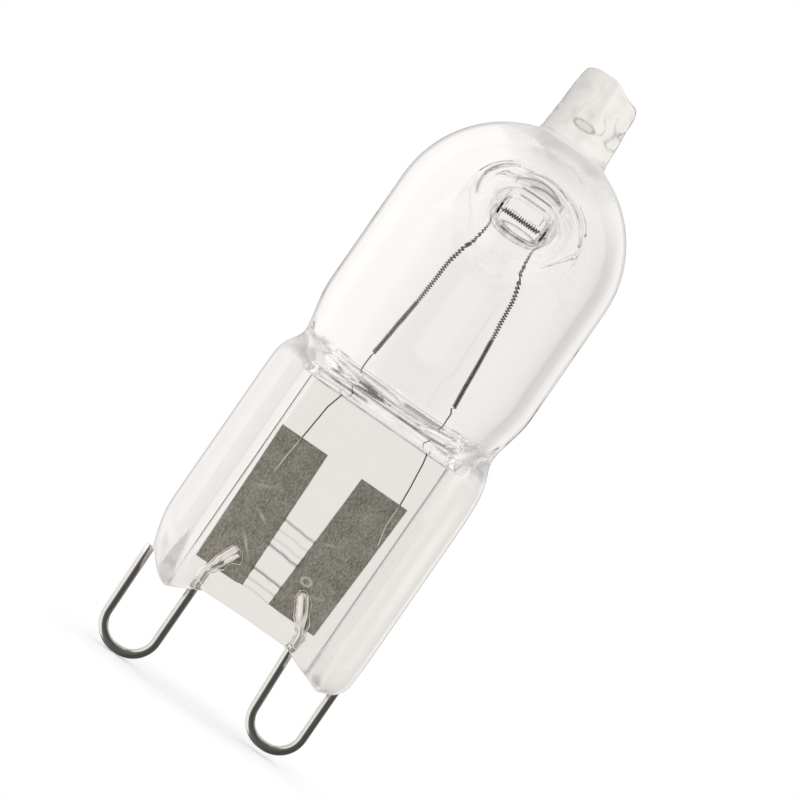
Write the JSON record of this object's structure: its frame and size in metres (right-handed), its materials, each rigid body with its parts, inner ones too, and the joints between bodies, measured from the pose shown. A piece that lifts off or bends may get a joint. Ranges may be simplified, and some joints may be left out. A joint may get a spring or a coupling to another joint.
{
  "type": "halogen capsule bulb",
  "caption": "Clear quartz halogen capsule with a dimpled dome, coiled filament, flat pinch seal with sealing foils, and looped wire contact pins that push into a lampholder.",
  "frame": {"origin": "midway between the two contact pins, in the plane where their wires leave the quartz", "axes": "+Z along the lamp axis towards the exhaust tip, +X from the left loop to the right loop, Y through the thickness of the pinch"},
  "size_m": [0.0132, 0.0126, 0.0391],
  "materials": {
    "quartz": "clear, fire polished",
    "tungsten": "dark drawn wire",
    "foil": "matt rolled foil",
    "pin_wire": "drawn, polished"
  },
  "bodies": {
    "root": {"quartz_envelope": "quartz", "filament": "tungsten", "left_foil": "foil", "right_foil": "foil", "left_contact_pin": "pin_wire", "right_contact_pin": "pin_wire"}
  },
  "joints": []
}
